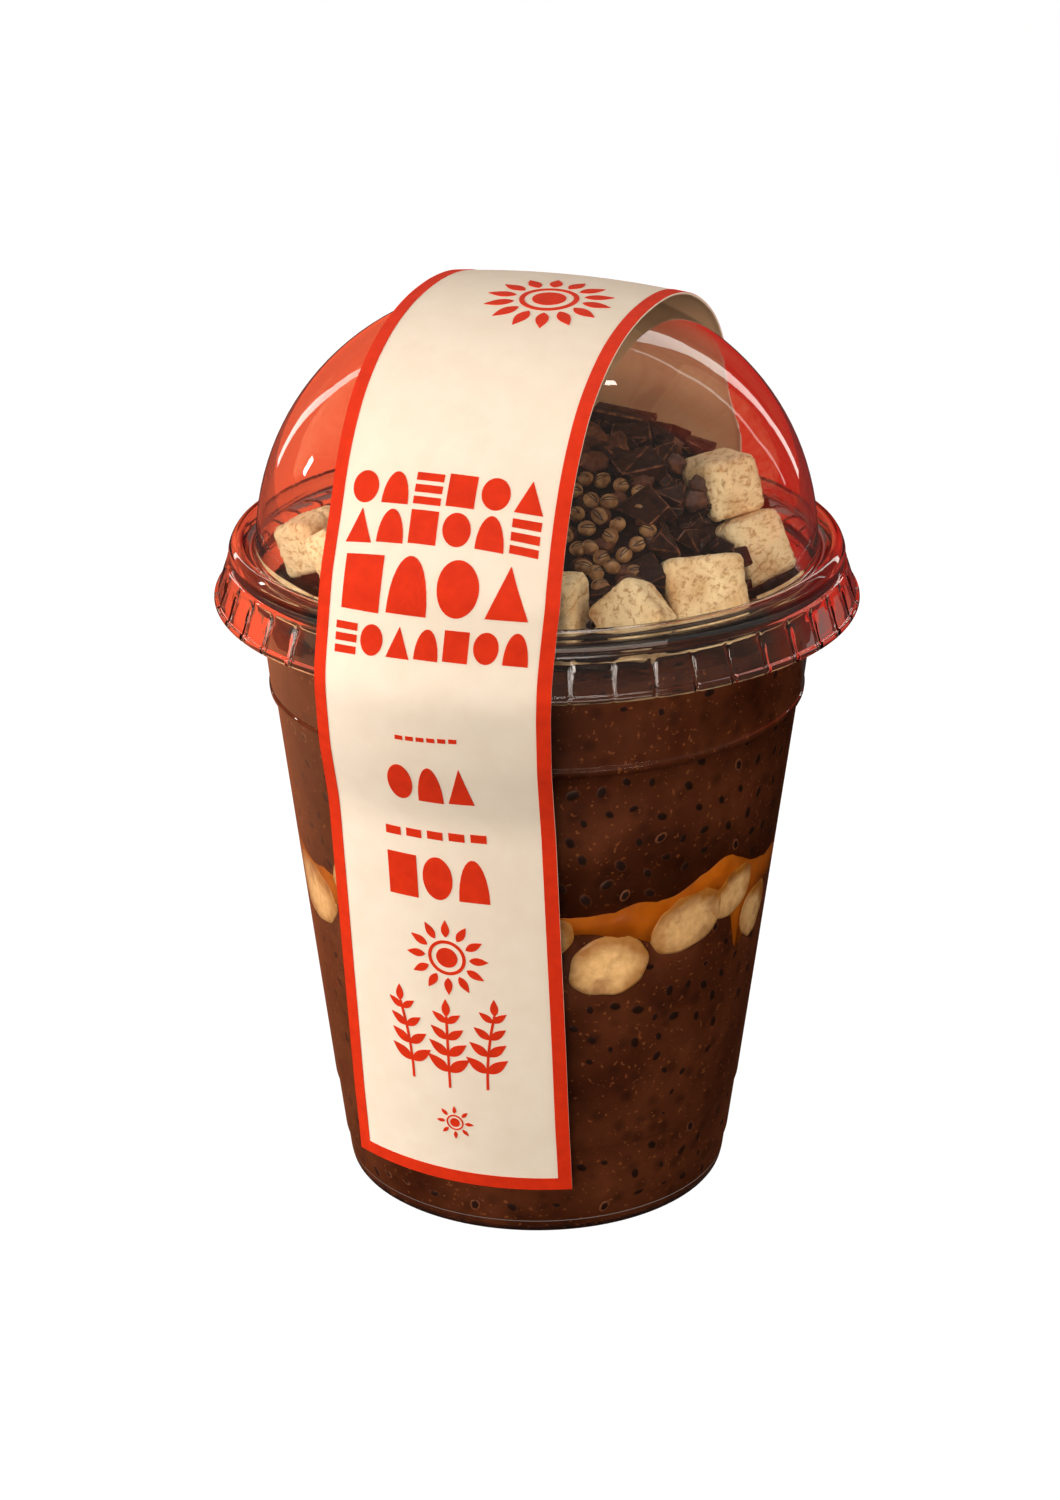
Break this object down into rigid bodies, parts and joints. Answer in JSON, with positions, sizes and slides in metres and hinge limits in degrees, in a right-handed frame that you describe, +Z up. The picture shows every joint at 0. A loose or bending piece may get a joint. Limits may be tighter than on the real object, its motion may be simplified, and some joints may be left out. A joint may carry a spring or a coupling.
{
  "type": "chia pudding cup",
  "caption": "Clear tapered cup with domed lid and paper band, filled with layers of chia pudding, caramel and banana under banana cubes, chocolate pieces and crisp pearls.",
  "frame": {"origin": "middle of the cup's foot, on the plane it stands on", "axes": "+Z up along the cup's axis, -Y towards the printed front of the paper band, +X to the right of it"},
  "size_m": [0.0842, 0.0864, 0.123],
  "materials": {
    "clear_plastic": "clear moulded PET plastic, glossy",
    "pudding": "moist chocolate chia pudding with dark seeds",
    "caramel": "glossy caramel sauce",
    "fresh_banana": "moist sliced banana",
    "dried_banana": "dry porous banana cubes with brown flecks",
    "chocolate": "broken chocolate pieces and glazed crisp pearls",
    "paper": "uncoated cream paper with a red printed border"
  },
  "bodies": {
    "root": {"cup": "clear_plastic", "pudding_lower": "pudding", "caramel_layer": "caramel", "pudding_upper": "pudding", "banana_slice_right_1": "fresh_banana", "banana_slice_right_2": "fresh_banana", "banana_slice_right_3": "fresh_banana", "banana_slice_right_4": "fresh_banana", "banana_slice_front_1": "fresh_banana", "banana_slice_front_2": "fresh_banana", "banana_slice_left_1": "fresh_banana", "banana_slice_left_2": "fresh_banana", "banana_slice_left_3": "fresh_banana", "banana_slice_back_1": "fresh_banana", "banana_slice_back_2": "fresh_banana", "banana_slice_back_3": "fresh_banana", "banana_slice_back_4": "fresh_banana", "banana_slice_back_5": "fresh_banana", "banana_cube_front_1": "dried_banana", "banana_cube_front_2": "dried_banana", "banana_cube_front_3": "dried_banana", "banana_cube_right_1": "dried_banana", "banana_cube_right_2": "dried_banana", "banana_cube_right_3": "dried_banana", "banana_cube_left_1": "dried_banana", "banana_cube_left_2": "dried_banana", "banana_cube_left_3": "dried_banana", "banana_cube_back_1": "dried_banana", "banana_cube_back_2": "dried_banana", "banana_cube_back_3": "dried_banana", "topping_heap": "chocolate", "lid": "clear_plastic", "label_band": "paper"}
  },
  "joints": []
}
